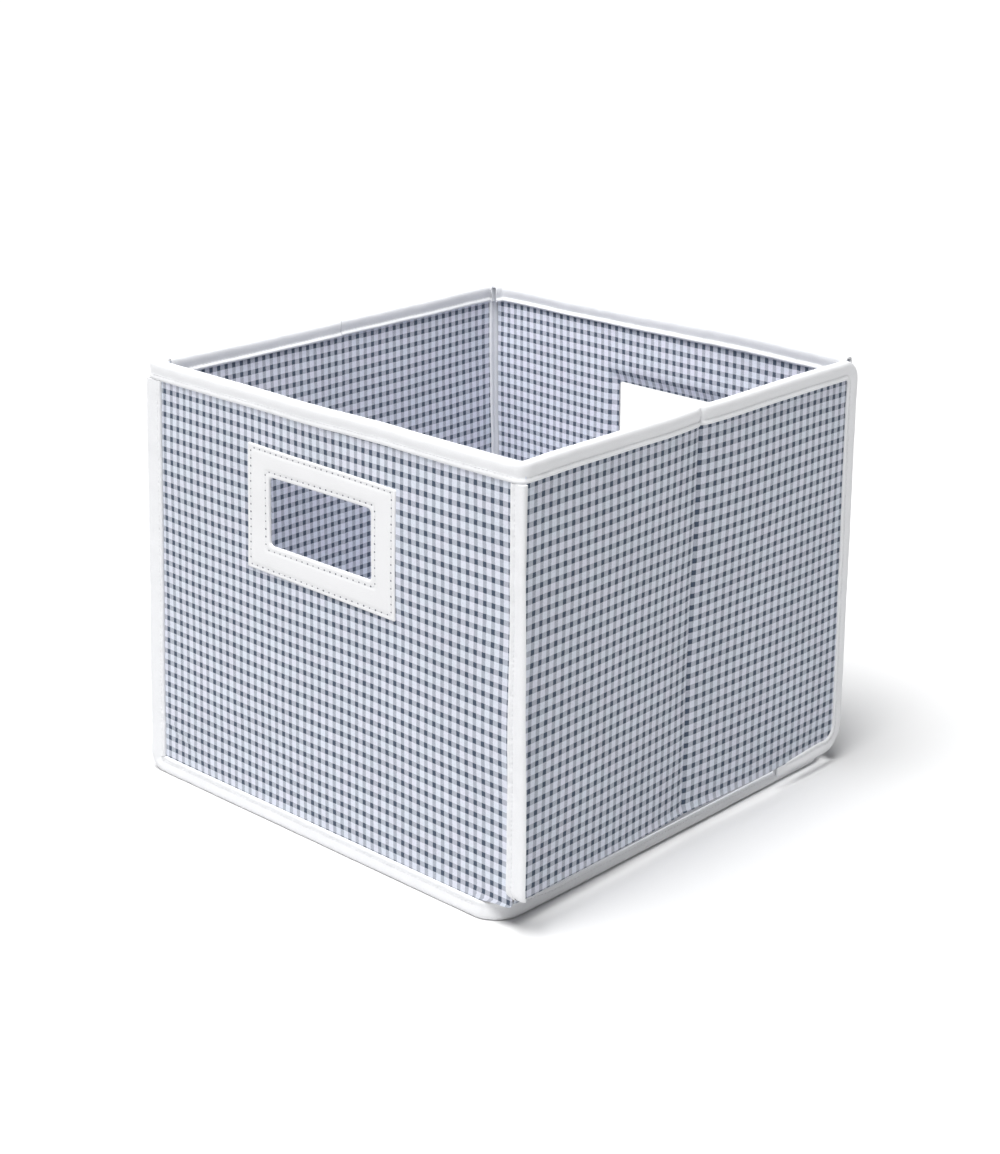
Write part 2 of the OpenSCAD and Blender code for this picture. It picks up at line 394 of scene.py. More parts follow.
def plain_paper(name, tint):
    n = Nodes(name)
    color = n.faded(n.noise(n.place(), 0.4, 2.0), tint, 0.995)
    return n.finish(color, 0.9, n.bump(n.noise(n.place(), 0.02), 0.01 * MM, 0.1), specular=0.1)


WHITE_TAPE = (0.845, 0.850, 0.865, 1)
GINGHAM = gingham("gingham_check", GROUND, DYE)
# The lining's gingham, lightened as painted light for the inside of the bin.
LIT_LINING = gingham("gingham_lining", LIT_LINING_GROUND, LIT_LINING_DYE)
TAPE = tape_cloth("bias_tape", WHITE_TAPE)
THREAD_WHITE = thread_cloth("sewing_thread", (0.80, 0.80, 0.82, 1))
LEATHER = leather_cloth("leather_cloth", (0.825, 0.825, 0.835, 1))
# The needle holes' dark colour is painted shade: the shade inside each hole.
NEEDLE_HOLE_SHADE = thread_cloth("needle_hole_painted_shade", (0.16, 0.17, 0.20, 1))
CARD = pressed_board("pressed_board", (0.50, 0.46, 0.40, 1))
PLAIN = tape_cloth("plain_cotton", (0.80, 0.81, 0.83, 1))
FLOOR = plain_paper("studio_floor", (0.78, 0.78, 0.78, 1))


# ---- mesh helpers ----


def add_object(name, data):
    obj = bpy.data.objects.new(name, data)
    bpy.context.scene.collection.objects.link(obj)
    return obj


def piece(name, points, faces, materials, uvs=None, slots=None, keep_place=False):
    """A smooth-shaded mesh object. Points are of the square bin, and are settled here."""
    mesh = bpy.data.meshes.new(name)
    placed = points if keep_place else [settled(p) for p in points]
    mesh.from_pydata(placed, [], faces)
    for m in materials:
        mesh.materials.append(m)
    if slots:
        mesh.polygons.foreach_set("material_index", slots)
    if uvs:
        layer = mesh.uv_layers.new(name="UVMap")
        flat = [c for loop in mesh.loops for c in uvs[loop.vertex_index]]
        layer.data.foreach_set("uv", flat)
    mesh.polygons.foreach_set("use_smooth", [True] * len(mesh.polygons))
    mesh.update()
    return add_object(name, mesh)


def place(obj, body, node, slot_name=None):
    """Gives a piece its body and hides the CAD node it stands for. slot_name is not used."""
    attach(obj, body)
    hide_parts(node)


def sharpen(obj, angle=50):
    """Keeps edges sharper than an angle crisp in the smooth shading."""
    obj.data.set_sharp_from_angle(angle=math.radians(angle))
    return obj


def grid_cell(ring, edges):
    """Keeps the edges that only one cell of a grid uses: its outline."""
    for a, b in zip(ring, ring[1:] + ring[:1]):
        if (b, a) in edges:
            del edges[(b, a)]
        else:
            edges[(a, b)] = True


class Wall:
    """A wall's flat place. u runs along it, z up, and depth outwards from its outer cloth's face."""

    def __init__(self, along, out, face):
        self.along, self.out, self.face = Vector(along), Vector(out), face

    def at(self, u, z, depth=0.0):
        p = self.along * u + self.out * (self.face + depth)
        return Vector((p.x, p.y, z))


FRONT = Wall((1, 0, 0), (0, -1, 0), FRONT_FACE)
BACK = Wall((1, 0, 0), (0, 1, 0), back_hi.y)
RIGHT = Wall((0, 1, 0), (1, 0, 0), SIDE_FACE)
LEFT = Wall((0, 1, 0), (-1, 0, 0), SIDE_FACE)


def stations(low, high, step, marks=()):
    """Even stations from low to high, with each mark among them and none crowding it."""
    fixed = sorted({low, high, *[m for m in marks if low < m < high]})
    out = []
    for a, b in zip(fixed, fixed[1:]):
        count = max(1, round((b - a) / step))
        out += [a + (b - a) * i / count for i in range(count)]
    return out + [high]


def arc_rise(distance, radius):
    """How far a round corner's edge has risen, at a distance in from the panel's end."""
    if distance >= radius:
        return 0.0
    return radius - math.sqrt(max(0.0, radius ** 2 - (radius - distance) ** 2))


STRAIGHT_Z = (0.045, 0.235)      # a panel's rows between these heights stay level


def round_hole(u, z, center):
    """Moves a point of the hand hole's square edge onto its round corner."""
    du, dz = u - center[0], z - center[1]
    pu, pz = abs(du) - (HOLE_W / 2 - HOLE_R), abs(dz) - (HOLE_H / 2 - HOLE_R)
    if min(pu, pz) < 0 or abs(max(pu, pz) - HOLE_R) > 1e-7:
        return u, z
    turn = math.radians(45) * (pz / HOLE_R if pu > pz else 2 - pu / HOLE_R)
    return (center[0] + math.copysign(HOLE_W / 2 - HOLE_R + HOLE_R * math.cos(turn), du),
            center[1] + math.copysign(HOLE_H / 2 - HOLE_R + HOLE_R * math.sin(turn), dz))


def slab(name, wall, columns, rows, near, far, materials, hole=None, foot=None, top=None,
         straight=STRAIGHT_Z, uv=None, clear=0.0):
    """A thin closed sheet on a wall, from depth near to far, with an optional hand hole.

    foot and top give the height of its lower and upper edge at u. Rows between the two straight
    heights stay level. near and far may be functions of u and z. clear keeps it off the hand hole.
    """
    low_z, high_z = rows[0], rows[-1]

    def spot(u, z):
        if foot and z < straight[0]:
            z = mix(foot(u), straight[0], (z - low_z) / (straight[0] - low_z))
        if top and z > straight[1]:
            z = mix(straight[1], top(u), (z - straight[1]) / (high_z - straight[1]))
        return round_hole(u, z, hole) if hole and not clear else (u, z)

    def open_cell(i, j):
        if not hole:
            return False
        u = (columns[i] + columns[i + 1]) / 2 - hole[0]
        z = (rows[j] + rows[j + 1]) / 2 - hole[1]
        return abs(u) < HOLE_W / 2 + clear and abs(z) < HOLE_H / 2 + clear

    points, uvs, index = [], [], {}

    def vertex(i, j, layer):
        key = (i, j, layer)
        if key not in index:
            u, z = spot(columns[i], rows[j])
            depth = far if layer else near
            index[key] = len(points)
            points.append(wall.at(u, z, depth(u, z) if callable(depth) else depth))
            uvs.append(uv(u, z) if uv else (u, z))
        return index[key]

    faces, edges = [], {}
    for i in range(len(columns) - 1):
        for j in range(len(rows) - 1):
            if open_cell(i, j):
                continue
            ring = [(i, j), (i + 1, j), (i + 1, j + 1), (i, j + 1)]
            faces.append([vertex(*c, 0) for c in ring])
            faces.append([vertex(*c, 1) for c in reversed(ring)])
            grid_cell(ring, edges)
    faces += [[vertex(*b, 0), vertex(*a, 0), vertex(*a, 1), vertex(*b, 1)] for a, b in edges]
    if wall.along.cross(Vector((0, 0, 1))).dot(wall.out) < 0:
        faces = [list(reversed(f)) for f in faces]
    return sharpen(piece(name, points, faces, materials, uvs))


# ---- wall panels: cloth, board and lining ----

HOLE_INSETS = (-10 * MM, -7 * MM, -4 * MM, -1.5 * MM, 0, 0.35 * HOLE_R, HOLE_R)
HOLE_MARKS_U = [s * (HOLE_W / 2 - d) for s in (-1, 1) for d in HOLE_INSETS]
HOLE_MARKS_Z = [s * (HOLE_H / 2 - d) for s in (-1, 1) for d in HOLE_INSETS]
HOLE_EDGE_T = 1.1 * MM                       # the layers are drawn together at the hole's edge
STEP = 3.6 * MM


def pattern(shift_u, shift_z, seed):
    def at(u, z):
        stray = 0.9 * MM * wobble(u / 0.08, z / 0.08, seed)
        rise = 1.1 * MM * wobble(u / 0.10, z / 0.07, seed + 20)
        return u + shift_u + stray, z + shift_z + rise
    return at


def end_marks(end, radius, side):
    """Stations close enough together to follow a round corner at a panel's end."""
    return [end - side * radius * f for f in (0.03, 0.12, 0.3, 0.6, 1.0)]


def pinched(hole, near, far):
    """Depths of a layer, drawn together with the other layers round the hand hole."""
    def depth(flat):
        def at(u, z):
            off = max(abs(u - hole[0]) - HOLE_W / 2, abs(z - hole[1]) - HOLE_H / 2)
            return mix(flat * HOLE_EDGE_T / PANEL, flat, smooth(0.5 * MM, 10 * MM, off))
        return at
    return depth(near), depth(far)


FRONT_LEFT_END = front_lo.x + 5 * MM         # the panel's ends lie inside the corner tapes
FRONT_RIGHT_END = front_hi.x - 9 * MM
PANEL_TOP = front_hi.z - 1.6 * MM            # and their tops inside the rim


def front_foot(u):
    left = arc_rise(u - FRONT_LEFT_END, TAPE_W - 6 * MM)
    right = arc_rise(FRONT_RIGHT_END - u, 4 * MM)
    over_base = smooth(FRONT_TAPE_END - 5 * MM, FRONT_TAPE_END, u) * (base_hi.z - 1.2 * MM - front_lo.z)
    return front_lo.z + left + right + over_base + 4.0 * MM * smooth(0.118, 0.150, u)


def front_layers():
    hole = (HANDLE_X, HOLE_Z)
    marks = [hole[0] + m for m in HOLE_MARKS_U]
    marks += [FRONT_TAPE_END - d * MM for d in (5, 2.5, 0)]
    marks += end_marks(FRONT_LEFT_END, TAPE_W - 6 * MM, -1) + end_marks(FRONT_RIGHT_END, 4 * MM, 1)
    columns = stations(FRONT_LEFT_END, FRONT_RIGHT_END, STEP, marks)
    rows = stations(front_lo.z, PANEL_TOP, STEP, [hole[1] + m for m in HOLE_MARKS_Z] + [*STRAIGHT_Z])
    shape = dict(hole=hole, foot=front_foot)
    outer = slab("front_cloth", FRONT, columns, rows, *pinched(hole, 0, -CLOTH), [GINGHAM],
                 uv=pattern(0.0012, 0.0005, 1), **shape)
    board = slab("front_board_core", FRONT, columns[1:-1], rows[1:-1], -CLOTH - 0.05 * MM,
                 -CLOTH - BOARD + 0.05 * MM, [CARD], clear=9 * MM, **shape)
    lining = slab("front_lining_cloth", FRONT, columns, rows, *pinched(hole, -PANEL + CLOTH, -PANEL),
                  [LIT_LINING], uv=pattern(0.003, 0.002, 2), **shape)
    wall_sheets("front", outer, board, lining)


def wall_sheets(wall, outer, board, lining, halves=None):
    """Gives a wall's two cloths and its board their bodies and hides their CAD nodes. A side wall's two
    cloths get no body and are baked where they stand; its boards go to its two halves.
    """
    for cloth, kind, slot_name in ((outer, "outer_cloth", "gingham_cloth"),
                                   (lining, "lining", "gingham_lining")):
        if halves:
            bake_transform(cloth)
            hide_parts(*[f"{half.replace('_half', '')}_{kind}" for half in halves])
        else:
            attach(cloth, f"{wall}_wall")
            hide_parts(f"{wall}_{kind}")
    for b, body in zip(board if halves else [board], halves or [f"{wall}_wall"]):
        node = f"{body.replace('_half', '').replace('_wall', '')}_board"
        place(b, body, node, "stiffener_board")


def back_layers():
    hole = (BACK_HANDLE_X, HOLE_Z)
    columns = stations(back_lo.x, back_hi.x, STEP, [hole[0] + m for m in HOLE_MARKS_U])
    rows = stations(back_lo.z, PANEL_TOP, STEP, [hole[1] + m for m in HOLE_MARKS_Z])
    outer = slab("back_cloth", BACK, columns, rows, *pinched(hole, 0, -CLOTH), [GINGHAM], hole=hole,
                 uv=pattern(0.002, 0.001, 3))
    board = slab("back_board_core", BACK, columns[1:-1], rows[1:-1], -CLOTH - 0.05 * MM,
                 -CLOTH - BOARD + 0.05 * MM, [CARD], hole=hole, clear=9 * MM)
    lining = slab("back_lining_cloth", BACK, columns, rows, *pinched(hole, -PANEL + CLOTH, -PANEL),
                  [LIT_LINING], hole=hole, uv=pattern(0.0035, 0.004, 4))
    wall_sheets("back", outer, board, lining)


NEAR_REACH = 2.6 * MM            # a side wall starts this much further forward than the CAD's


def side_layers(side, wall):
    u0, u1 = near_lo.y - NEAR_REACH, rear_hi.y
    radius = REAR_R - 1 * MM

    def foot(u):
        fore_rise = 1 * MM - 1 * MM * smooth(-0.150, -0.135, u)
        return SIDE_HEM + fore_rise + arc_rise(u1 - u, radius)

    def top(u):
        return PANEL_TOP - arc_rise(u1 - u, radius)

    def hem_in(u, z):
        return -PANEL + CLOTH if z < SIDE_HEM + 1.1 * MM else -CLOTH

    def hem_out(u, z):
        return -0.7 * MM if z < SIDE_HEM + 0.2 * MM else 0.0

    def sides_check(shift_u, shift_z, seed):
        plain = pattern(shift_u, shift_z, seed)

        def at(u, z):
            a, b = plain(u, z)
            return (a if u < 0 else a * 0.925), b
        return at

    creases = [s * d * MM for s in (-1, 1) for d in (0.7, 1.8, 3.5, 6.0)] + [0]
    columns = stations(u0, u1, STEP, creases + end_marks(u1, radius, 1))
    rows = stations(SIDE_HEM, PANEL_TOP, STEP, [SIDE_HEM + 0.6 * MM, SIDE_HEM + 1.2 * MM, *STRAIGHT_Z])
    shape = dict(foot=foot, top=top)
    outer = slab(f"{side}_cloth", wall, columns, rows, hem_out, hem_in, [GINGHAM],
                 uv=sides_check(0.002, 0.003, 5 + len(side)), **shape)
    lining = slab(f"{side}_lining_cloth", wall, columns, rows, -PANEL + CLOTH, -PANEL, [LIT_LINING],
                  uv=sides_check(0.001, 0.0045, 9 + len(side)), **shape)
    boards = []
    for half, low, high in (("front", u0 + 1 * MM, -1.5 * MM), ("rear", 1.5 * MM, u1 - 1 * MM)):
        cut = stations(low, high, STEP, end_marks(high, radius, 1) if half == "rear" else ())
        board_rows = [r for r in rows if r > SIDE_HEM + 1 * MM]
        boards.append(slab(f"{side}_{half}_board_core", wall, cut, board_rows,
                           -CLOTH - 0.05 * MM, -CLOTH - BOARD + 0.05 * MM, [CARD], **shape))
    halves = (f"{side}_front_half", f"{side}_rear_half")
    wall_sheets(side, outer, boards, lining, halves)


front_layers()
back_layers()
side_layers("right", RIGHT)
side_layers("left", LEFT)

# ---- bindings: folded tape swept along each edge ----

# One flank of the tape across, from its sewn edge at 0 to its fold at 1: out from the panel's
# middle in mm, and the share of the tape's width. The stitching pulls in the groove.
FLANK = [(2.05, 0.012), (2.75, -0.008), (3.40, 0.02), (3.80, 0.075), (3.66, 0.145), (2.98, 0.205),
         (2.52, 0.250), (2.62, 0.305), (2.92, 0.40), (3.24, 0.52), (3.46, 0.64), (3.46, 0.76),
         (3.20, 0.865), (2.62, 0.94), (1.55, 0.988), (0.0, 1.0)]
GROOVE = 6          # the stitched point of the flank
SOFT_FLANK = [(2.05, 0.02), (2.55, 0.0), (2.95, 0.03), (3.10, 0.10), (3.12, 0.18), (3.10, 0.25),
              (3.10, 0.31), (3.14, 0.38), (3.22, 0.46), (3.32, 0.55), (3.38, 0.65), (3.34, 0.77),
              (3.10, 0.87), (2.50, 0.945), (1.45, 0.988), (0.0, 1.0)]
SLOT_DEPTH = 0.88
SHALLOW_SLOT = 0.29                # on a tape whose far flank lies close behind its near one
TAPE_STEP = 1.3 * MM
STITCH_PITCH = 2.9 * MM
STITCH_LONG = 2.1 * MM
STITCH_R = 0.21 * MM
# A stitch's rings: the share of its length, of its radius, and how far each rises off the cloth.
STITCH_RINGS = [(0, 0.35, -0.9), (0.12, 0.9, 0.1), (0.5, 1.0, 0.45), (0.88, 0.9, 0.1), (1, 0.35, -0.9)]


def route(corners, radii, step=TAPE_STEP):
    """Points and directions along a flat polyline whose corners are rounded."""
    corners = [Vector(c) for c in corners]
    out = []
    cursor = corners[0]

    def straight(a, b):
        length = (b - a).length
        if length < 1e-6:
            return
        way = (b - a) / length
        count = max(1, round(length / step))
        out.extend((a + (b - a) * i / count, way) for i in range(count))

    for before, corner, after, radius in zip(corners, corners[1:], corners[2:], radii):
        into, away = (corner - before).normalized(), (after - corner).normalized()
        turn = into.angle(away)
        cut = radius * math.tan(turn / 2)
        start = corner - into * cut
        straight(cursor, start)
        spin = 1 if into.x * away.y - into.y * away.x > 0 else -1
        center = start + Vector((-into.y, into.x)) * spin * radius
        count = max(6, round(radius * turn / step))
        for i in range(count):
            angle = spin * turn * i / count
            c, s = math.cos(angle), math.sin(angle)
            arm = start - center
            out.append((center + Vector((c * arm.x - s * arm.y, s * arm.x + c * arm.y)),
                        Vector((c * into.x - s * into.y, s * into.x + c * into.y))))
        cursor = corner + away * cut
    straight(cursor, corners[-1])
    out.append((corners[-1], (corners[-1] - corners[-2]).normalized()))
    return out


def plan_frames(samples, z, fold, left_is_out):
    """Frames for a tape that bends in plan: its fold lies at height z and points up or down."""
    turn = -1 if left_is_out else 1
    return [(Vector((p.x, p.y, z)), Vector((w.y * turn, -w.x * turn, 0)), Vector((0, 0, fold)))
            for p, w in samples]


def wall_frames(samples, wall, fold_left):
    """Frames for a tape that bends in a wall's own plane, its fold to the left or the right."""
    turn = 1 if fold_left else -1
    frames = []
    for p, w in samples:
        fold = wall.along * (-w.y * turn) + Vector((0, 0, w.x * turn))
        frames.append((wall.at(p.x, p.y, -PANEL / 2), wall.out, fold))
    return frames


def tube(first, spans, sides):
    """The faces between rings of points, from the point first on."""
    corners = [(first + i * sides + k, first + i * sides + (k + 1) % sides)
               for i in range(spans) for k in range(sides)]
    return [[a, b, b + sides, a + sides] for a, b in corners]


def capsule(start, end, out, radius, points, faces):
    """Adds one stitch: a short round thread whose ends dive in."""
    way = (end - start).normalized()
    side = way.cross(out).normalized()
    first = len(points)
    sides = 5
    for t, scale, rise in STITCH_RINGS:
        center = start + (end - start) * t + out * radius * rise
        for k in range(sides):
            a = math.tau * k / sides
            points.append(center + (out * math.cos(a) + side * math.sin(a)) * radius * scale)
    faces += tube(first, len(STITCH_RINGS) - 1, sides)
    faces.append([first + k for k in reversed(range(sides))])
    faces.append([first + 4 * sides + k for k in range(sides)])


def tape(name, frames, seed, width=lambda s: TAPE_W, ridge=lambda s: 1.0, pucker=lambda s: 1.0,
         thick=lambda s: 1.0, ends=("flat", "flat"), stitched=lambda s: True, flat_inside=0.0):
    """Folded tape along frames of (fold point, out, fold direction).

    width, ridge, pucker and thick are functions of the distance along it: the tape's width, how far
    its stitched edge stands up, how much it puckers, and a factor on its thickness. stitched says
    where it is sewn. flat_inside lays the inner flank that far down, past the panel's edge.
    """
    slot_depth = SHALLOW_SLOT if flat_inside else SLOT_DEPTH
    slot = [(a * MM, b) for a, b in ((-2.0, 0.0), (-2.0, slot_depth), (2.0, slot_depth), (2.0, 0.0))]
    travelled, total = [0.0], 0.0
    for a, b in zip(frames, frames[1:]):
        total += (b[0] - a[0]).length
        travelled.append(total)
    points, uvs = [], []
    grooves = ([], [])
    for (fold, out, down), s in zip(frames, travelled):
        wide, up, rough, fat = width(s), ridge(s), pucker(s), thick(s)
        for kind, end_at in zip(ends, (s, total - s)):
            if kind == "round" and end_at < 6 * MM:
                t = 1 - end_at / (6 * MM)
                fat *= math.sqrt(max(0.02, 1 - t ** 3))
            if kind == "pinched" and end_at < 2.6 * MM:
                fat *= 1 - 0.22 * (1 - end_at / (2.6 * MM))
        slow = wobble(s / 0.021, seed, 0.5)
        ring = []
        for flank in (1, -1):
            line = []
            for k, (ridged, soft) in enumerate(zip(FLANK, SOFT_FLANK)):
                a = mix(soft[0], ridged[0], up) * MM
                b = mix(soft[1], ridged[1], up)
                near_edge = bell(b - 0.12, 0.16)
                grain = wobble(s / 0.0021 + b * 2.2, b * 2.5, seed + 9 * flank)
                broad = wobble(s / 0.009, b * 2.0, seed + 5 * flank)
                a += rough * MM * (0.30 * near_edge + 0.05) * grain
                a += rough * MM * (0.16 * broad + 0.14 * slow) * (1 if a > 0.5 * MM else 0)
                b += 0.014 * rough * grain * near_edge
                if flank < 0:
                    a *= 1 - flat_inside * smooth(0.30, 0.62, b)
                line.append((flank * a * fat, b))
            ring.append(line)
        section = ring[0] + list(reversed(ring[1][:-1])) + slot
        girth = 0.0
        previous = None
        for a, b in section:
            spot = fold + out * a - down * (1 - b) * wide
            if previous is not None:
                girth += (spot - previous).length
            previous = spot
            points.append(spot)
            uvs.append((s, girth))
        for flank, store in zip((0, 1), grooves):
            a, b = ring[flank][GROOVE]
            store.append((fold + out * a - down * (1 - b) * wide, out * (1 if flank == 0 else -1)))
    count = len(FLANK) * 2 - 1 + len(slot)
    faces = tube(0, len(frames) - 1, count)
    last = (len(frames) - 1) * count
    faces += cap_faces(0, False) + cap_faces(last, True)
    _, out, down = frames[0]
    if (frames[1][0] - frames[0][0]).dot(out.cross(down)) > 0:
        faces = [list(reversed(f)) for f in faces]
    cloth_faces = len(faces)
    sew(grooves, travelled, stitched, points, faces)
    uvs += [(0, 0)] * (len(points) - len(uvs))
    slots = [0] * cloth_faces + [1] * (len(faces) - cloth_faces)
    obj = piece(name, points, faces, [TAPE, THREAD_WHITE], uvs, slots)
    sharpen(obj, 65)
    return obj


def cap_faces(first, outward):
    """Closes a tape's end across its U section, with a strip on each flank and one over the fold."""
    arm = len(FLANK)
    left = [first + k for k in range(arm)]
    right = [first + k for k in range(arm - 1, 2 * arm - 1)]
    slot = [first + 2 * arm - 1 + k for k in range(4)]
    rings = [left[:-3] + [slot[2], slot[3]], right[3:] + [slot[0], slot[1]],
             left[-4:] + right[1:4] + [slot[1], slot[2]]]
    return [r if outward else list(reversed(r)) for r in rings]


def sew(grooves, travelled, stitched, points, faces):
    """Lays stitches along both grooves of a tape."""
    total = travelled[-1]
    for groove in grooves:
        at = STITCH_PITCH * 0.6
        i = 0
        while at + STITCH_LONG < total - 1 * MM:
            if not stitched(at):
                at += STITCH_PITCH
                continue

            def spot(s):
                nonlocal i
                while travelled[i + 1] < s:
                    i += 1
                t = (s - travelled[i]) / max(1e-9, travelled[i + 1] - travelled[i])
                return groove[i][0].lerp(groove[i + 1][0], t), groove[i][1]
            a, out = spot(at)
            b, _ = spot(at + STITCH_LONG)
            if (b - a).length > 0.55 * STITCH_LONG:
                capsule(a + out * 0.08 * MM, b + out * 0.08 * MM, out, STITCH_R, points, faces)
            at += STITCH_PITCH


def rim_front_right():
    """Front rim: turned in at the left corner, along the front, round the near corner to the crease."""
    left = -SIDE_MID - 3.0 * MM
    corners = [(left, -FRONT_MID + 11 * MM), (left, -FRONT_MID), (SIDE_MID, -FRONT_MID),
               (SIDE_MID, near_hi.y)]
    samples = route(corners, [3.4 * MM, 4.4 * MM])
    frames = plan_frames(samples, rim_hi.z, 1, left_is_out=False)
    corner_at = 11 * MM + 2 * SIDE_MID

    def pucker(s):
        return 1 + 1.3 * bell(s - corner_at - 6 * MM, 16 * MM)

    def ridge(s):
        return mix(0.3, 1.0, smooth(corner_at - 14 * MM, corner_at + 10 * MM, s))

    obj = tape("rim_tape_front_right", frames, 11, pucker=pucker, ridge=ridge, ends=("flat", "pinched"))
    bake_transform(obj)
    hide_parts("front_rim_binding", "right_front_rim_binding")


def rim_left_front():
    samples = route([(-SIDE_MID - 0.2 * MM, -FRONT_MID + 10.4 * MM), (-SIDE_MID, near_hi.y)], [])
    frames = plan_frames(samples, rim_hi.z - 0.3 * MM, 1, left_is_out=True)
    obj = tape("rim_tape_left_front", frames, 12, ends=("pinched", "pinched"),
               pucker=lambda s: 1 + 1.2 * bell(s, 20 * MM))
    place(obj, "left_front_half", "left_front_rim_binding")


def rim_back():
    """Back rim: its left end turns in along the left wall, as the sewn tape does."""
    left, right = back_rim_lo.x, back_rim_hi.x
    turn_x = left + BOUND / 2 + 0.6 * MM
    samples = route([(turn_x, FRONT_MID - 9 * MM), (turn_x, FRONT_MID), (right, FRONT_MID)], [4.5 * MM])
    frames = plan_frames(samples, rim_hi.z, 1, left_is_out=True)
    obj = tape("rim_tape_back", frames, 13, ends=("pinched", "flat"))
    place(obj, "back_wall", "back_rim_binding")


def front_edge_tape():
    """Down the front's left edge, round its foot and along the bottom."""
    left = -HALF_W - 0.8 * MM
    samples = route([(left, RIM_Z), (left - 1.8 * MM, 0.0), (FRONT_TAPE_END, 0.0)], [FOOT_R])
    frames = wall_frames(samples, FRONT, fold_left=False)
    upright = RIM_Z - FOOT_R

    def ridge(s):
        return mix(1.0, 0.25, smooth(upright - 4 * MM, upright + 22 * MM, s))

    def width(s):
        return mix(14.6 * MM, TAPE_W, smooth(upright - 6 * MM, upright + 20 * MM, s))

    obj = tape("edge_tape_front", frames, 14, ridge=ridge, width=width,
               stitched=lambda s: not upright - 2 * MM < s < upright + 18 * MM)
    place(obj, "front_wall", "front_edge_binding")


def near_corner_tape():
    """The near corner's upright tape, which flares towards its free round end."""
    low, high = fin_lo.z - 2 * MM, RIM_Z
    reach = high - low
    samples = route([(HALF_W - 1.5 * MM, high), (HALF_W + 0.6 * MM, low)], [])
    frames = wall_frames(samples, FRONT, fold_left=True)

    def width(s):
        wide = mix(10.0, 13.6, smooth(0.0, reach, s)) * MM
        t = max(0.0, 1 - (reach - s) / (5 * MM))
        return wide * (1 - 0.22 * t ** 3)

    def thick(s):
        return 1 + 0.12 * smooth(reach - 50 * MM, reach - 8 * MM, s)

    obj = tape("near_corner_tape", frames, 15, width=width, thick=thick, ends=("flat", "round"),
               flat_inside=0.85)
    place(obj, "front_wall", "front_right_corner_binding")


def rear_tape(side, wall):
    """Along the rear half's rim, round the corner, down the rear edge and forward under its hem."""
    start, end = rear_tape_lo.y, rear_tape_hi.y
    low = 10.4 * MM
    foot_in = 0.092
    corners = [(start, HEIGHT), (end, HEIGHT), (end, low), (foot_in, low)]
    samples = route(corners, [REAR_R, REAR_R + 4 * MM])
    frames = wall_frames(samples, wall, fold_left=True)
    rim = end - start
    down = rim + HEIGHT - low
    total = down + end - foot_in

    def ridge(s):
        return mix(1.0, 0.35, smooth(rim - 12 * MM, rim + 20 * MM, s))

    def width(s):
        wide = mix(TAPE_W, 9.4 * MM, smooth(rim + 20 * MM, down - 60 * MM, s))
        return mix(wide, 7.0 * MM, smooth(total - 60 * MM, total - 12 * MM, s))

    def thick(s):
        return mix(1.0, 0.45, smooth(total - 42 * MM, total - 12 * MM, s))

    def stitched(s):
        return not rim - 16 * MM < s < rim + 8 * MM and s < down

    obj = tape(f"rear_tape_{side}", frames, 16 + len(side), ridge=ridge, width=width, thick=thick,
               ends=("pinched", "round"), stitched=stitched)
    place(obj, f"{side}_rear_half", f"{side}_rear_binding")


def base_tape():
    """Round the base: from the front tape's end by the near corner, right, rear and left."""
    mid = BOUND / 2
    x0, x1 = base_lo.x + mid, base_hi.x - BASE_TUCK - mid
    y0, y1 = base_lo.y + mid, base_hi.y - mid
    r = BASE_R - mid
    end = (x0, -FRONT_MID + BOUND / 2 + 0.5 * MM)
    samples = route([(FRONT_TAPE_END, y0), (x1, y0), (x1, y1), (x0, y1), end], [NEAR_BASE_R - mid, r, r])
    frames = plan_frames(samples, 0.0, -1, left_is_out=False)

    def width(s):
        return mix(TAPE_W, 8.8 * MM, smooth(24 * MM, 60 * MM, s))

    obj = tape("base_tape", frames, 25, width=width, ridge=lambda s: 0.12, pucker=lambda s: 0.7,
               stitched=lambda s: s > 30 * MM)
    place(obj, "base", "base_binding")


rim_front_right()
rim_left_front()
rim_back()
front_edge_tape()
near_corner_tape()
rear_tape("right", RIGHT)
rear_tape("left", LEFT)
base_tape()

# ---- base: two cloths over a board ----


def base_layer(name, low, high, material, uv_seed, inset=0.0):
    """A flat layer of the base with round corners."""
    x0, x1 = base_top_lo.x + inset, base_top_hi.x - BASE_TUCK - inset
    y0, y1 = base_top_lo.y + inset, base_top_hi.y - inset
    radius = BASE_R - BOUND
    columns = stations(x0, x1, 8 * MM, end_marks(x0, radius, -1) + end_marks(x1, radius, 1))
    rows = stations(y0, y1, 8 * MM, [y0 + 30 * MM, y1 - 30 * MM])

    def rise(u):
        return arc_rise(u - x0, radius) + arc_rise(x1 - u, radius)

    points, uvs, faces, edges = [], [], [], {}
    across = len(rows)
    check = pattern(0.001, 0.002, uv_seed)
    for z in (high, low):
        for u in columns:
            for v in rows:
                cut = rise(u) if v > rows[-1] - 30 * MM else 0.0
                shrink = (v - (y1 - 30 * MM)) / (30 * MM) * cut
                y = v - max(0.0, shrink)
                soft = 0.35 * MM * wobble(u / 0.05, y / 0.05, 3.0)
                points.append(Vector((u, y, z + soft)))
                uvs.append(check(u, y))
    top_count = len(columns) * across
    for i in range(len(columns) - 1):
        for j in range(across - 1):
            ring = [i * across + j, (i + 1) * across + j, (i + 1) * across + j + 1, i * across + j + 1]
            faces.append(ring)
            faces.append([k + top_count for k in reversed(ring)])
            grid_cell(ring, edges)
    faces += [[b, a, a + top_count, b + top_count] for a, b in edges]
    return sharpen(piece(name, points, faces, [material], uvs))


